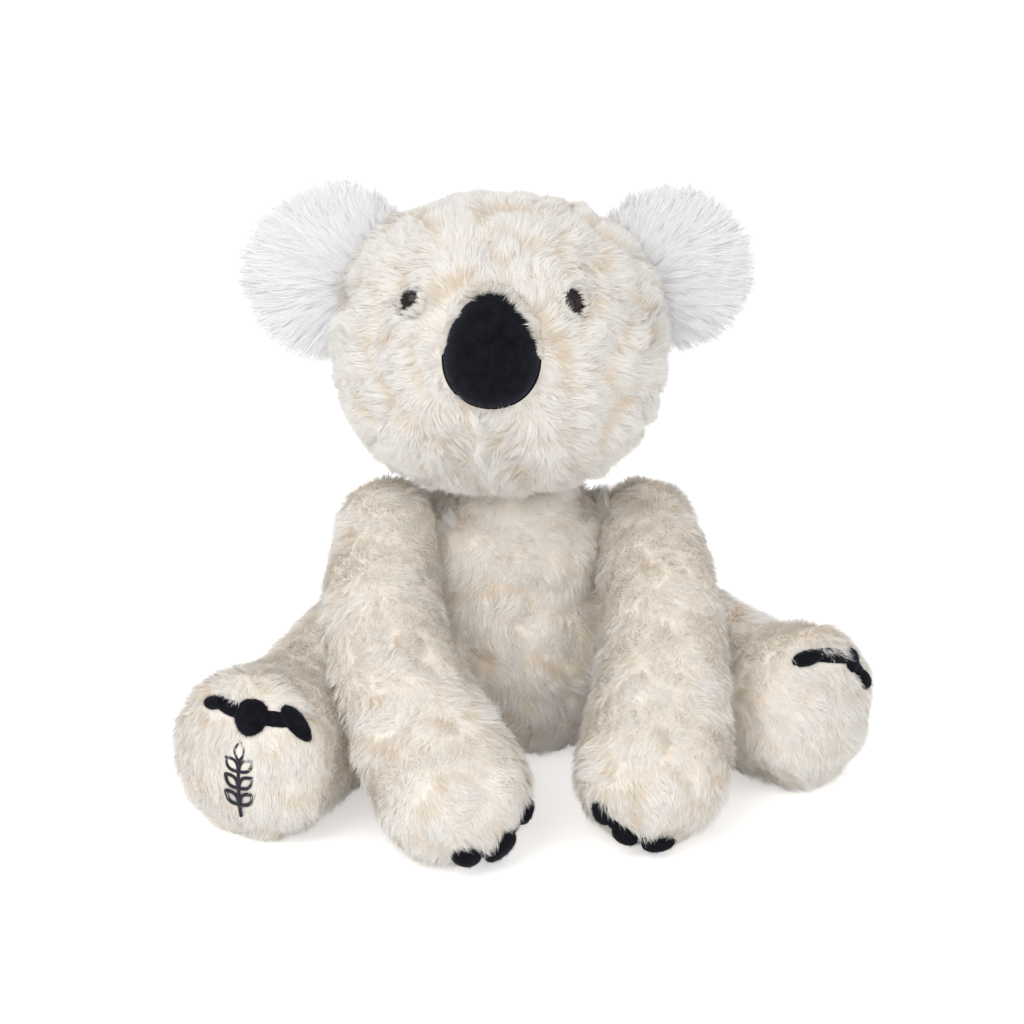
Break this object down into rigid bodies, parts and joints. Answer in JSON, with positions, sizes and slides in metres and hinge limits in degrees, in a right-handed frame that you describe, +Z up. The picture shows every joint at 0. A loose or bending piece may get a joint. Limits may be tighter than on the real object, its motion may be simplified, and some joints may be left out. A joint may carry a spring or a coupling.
{
  "type": "plush koala",
  "caption": "Seated plush koala with a large head, white fanned ears, black velour nose and claws, bead-weighted paws and seat, and limbs and a neck that turn at their seams.",
  "frame": {"origin": "centre of the flat seat that the toy sits on", "axes": "+Z up, -Y the way the toy faces, +X the toy's own left"},
  "size_m": [0.2368, 0.1776, 0.1971],
  "materials": {
    "cream_plush": "tufted long-pile plush, warm off-white with beige roots",
    "white_plush": "long straight-pile plush, cool white",
    "black_velour": "short-pile velour, near black",
    "eye_plastic": "polished, very dark brown",
    "washer_plastic": "plain moulded",
    "fibre_stuffing": "loose polyester fibre",
    "bead_bag_cloth": "plain woven lining"
  },
  "bodies": {
    "torso": {"torso_skin": "cream_plush", "torso_stuffing": "fibre_stuffing", "seat_bead_bag": "bead_bag_cloth"},
    "neck": {"neck_stuffing": "fibre_stuffing"},
    "head": {"head_skin": "cream_plush", "head_stuffing": "fibre_stuffing", "nose": "black_velour", "eye_right": "eye_plastic", "eye_left": "eye_plastic", "eye_washer_right": "washer_plastic", "eye_washer_left": "washer_plastic"},
    "ear_right": {"ear_right": "white_plush"},
    "ear_left": {"ear_left": "white_plush"},
    "arm_right": {"arm_right_skin": "cream_plush", "arm_right_stuffing": "fibre_stuffing", "arm_right_bead_bag": "bead_bag_cloth", "arm_right_claws": "black_velour"},
    "arm_left": {"arm_left_skin": "cream_plush", "arm_left_stuffing": "fibre_stuffing", "arm_left_bead_bag": "bead_bag_cloth", "arm_left_claws": "black_velour"},
    "leg_right": {"leg_right_skin": "cream_plush", "leg_right_stuffing": "fibre_stuffing", "leg_right_bead_bag": "bead_bag_cloth", "leg_right_claws": "black_velour"},
    "leg_left": {"leg_left_skin": "cream_plush", "leg_left_stuffing": "fibre_stuffing", "leg_left_bead_bag": "bead_bag_cloth", "leg_left_claws": "black_velour"}
  },
  "joints": [
    {"name": "neck_turn", "type": "hinge", "parent": "torso", "child": "neck", "pos_m": [0, -0.003, 0.079], "axis": [0, 0, 1], "range_deg": [-40, 40]},
    {"name": "head_nod", "type": "hinge", "parent": "neck", "child": "head", "pos_m": [0, -0.003, 0.079], "axis": [1, 0, 0], "range_deg": [-15, 20]},
    {"name": "ear_right_flex", "type": "hinge", "parent": "head", "child": "ear_right", "pos_m": [-0.05172, 0.01158, 0.16556], "axis": [0.4471, 0.2251, 0.8657], "range_deg": [-20, 20], "stiffness_Nm_per_rad": 0.02},
    {"name": "ear_left_flex", "type": "hinge", "parent": "head", "child": "ear_left", "pos_m": [0.0455, 0.00648, 0.16556], "axis": [-0.4212, 0.2706, 0.8657], "range_deg": [-20, 20], "stiffness_Nm_per_rad": 0.02},
    {"name": "arm_right_raise", "type": "hinge", "parent": "torso", "child": "arm_right", "pos_m": [-0.04322, -0.01981, 0.081], "axis": [-0.7907, 0.1708, -0.5879], "range_deg": [0, 65]},
    {"name": "arm_left_raise", "type": "hinge", "parent": "torso", "child": "arm_left", "pos_m": [0.04738, -0.00383, 0.076], "axis": [-0.635, -0.3812, 0.6719], "range_deg": [0, 65]},
    {"name": "leg_right_drop", "type": "hinge", "parent": "torso", "child": "leg_right", "pos_m": [-0.04461, -0.01193, 0.028], "axis": [0.887, -0.4618, 0], "range_deg": [0, 60]},
    {"name": "leg_left_drop", "type": "hinge", "parent": "torso", "child": "leg_left", "pos_m": [0.046, 0.00405, 0.028], "axis": [0.682, 0.7314, 0], "range_deg": [0, 60]}
  ]
}
